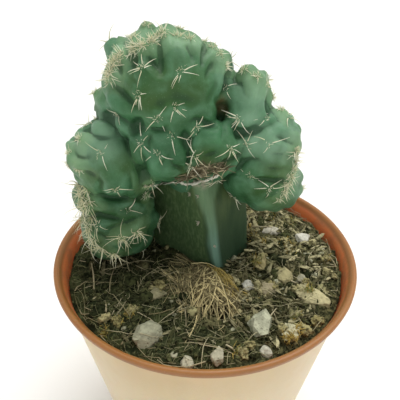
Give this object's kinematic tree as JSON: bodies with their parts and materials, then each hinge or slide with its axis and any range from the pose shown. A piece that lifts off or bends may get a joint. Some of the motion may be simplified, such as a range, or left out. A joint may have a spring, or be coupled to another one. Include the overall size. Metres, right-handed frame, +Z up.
{
  "type": "potted chin cactus",
  "caption": "Crested, spiny chin cactus grafted on a short three-angled stem, in a tapered plastic nursery pot with stony potting mix.",
  "frame": {"origin": "centre of the pot's foot, on the surface that the pot stands on", "axes": "+Z up; the side from which the plant is usually looked at faces -Y; +X to that viewer's right"},
  "size_m": [0.105, 0.105, 0.1685],
  "materials": {
    "pot_plastic": "satin moulded plastic",
    "potting_mix": "rough, fibrous and crumbly",
    "stem_green": "waxy skin with corky scars",
    "head_green": "satin waxy skin with pale spines",
    "dry_root": "matt dry fibre",
    "pumice": "matt and porous"
  },
  "bodies": {
    "root": {"pot": "pot_plastic", "soil": "potting_mix", "rootstock": "stem_green", "cactus_head": "head_green", "root_tuft": "dry_root", "stone_front_left": "pumice", "stone_front_right": "pumice", "stone_right_tan": "pumice", "stone_right_round": "pumice", "stone_by_stem": "pumice", "stone_bark_flake": "pumice", "stone_right_grey": "pumice", "stone_far_right_white": "pumice", "stone_far_right_flat": "pumice", "stone_front_edge": "pumice", "stone_front_edge_left": "pumice", "stone_front_low": "pumice", "stone_small_white": "pumice", "stone_perlite": "pumice", "stone_left_tan": "pumice", "stone_back_left": "pumice", "stone_back": "pumice"}
  },
  "joints": []
}
